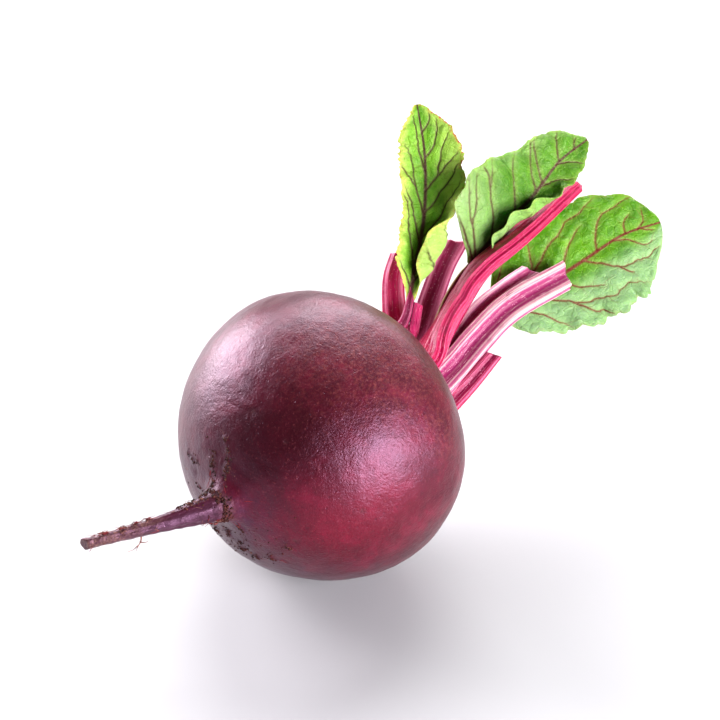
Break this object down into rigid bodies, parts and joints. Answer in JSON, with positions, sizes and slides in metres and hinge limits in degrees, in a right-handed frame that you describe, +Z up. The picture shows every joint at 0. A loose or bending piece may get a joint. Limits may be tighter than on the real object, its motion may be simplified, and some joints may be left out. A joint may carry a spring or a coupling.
{
  "type": "beetroot",
  "caption": "Whole beetroot lying on its side, with its tap root, cut leaf stalks and young leaves at the crown.",
  "frame": {"origin": "middle of the small flat spot that the beetroot rests on", "axes": "+Z up; the beetroot's own axis lies along X, tap root at -X, crown and leaves at +X"},
  "size_m": [0.1924, 0.0808, 0.1018],
  "materials": {
    "skin": "satin, finely pored",
    "stalk": "satin, ribbed and streaked",
    "leaf": "semi-gloss, veined"
  },
  "bodies": {
    "root": {"beet_root": "skin", "stalk_main": "stalk", "stalk_channelled": "stalk", "stalk_behind": "stalk", "stalk_left": "stalk", "stalk_middle": "stalk", "stalk_stub": "stalk", "stalk_low_front": "stalk", "stalk_low": "stalk", "stalk_far": "stalk", "leafstalk_tall": "stalk", "leafstalk_folded": "stalk", "leafstalk_round": "stalk", "blade_tall": "leaf", "blade_folded": "leaf", "blade_round": "leaf"}
  },
  "joints": []
}
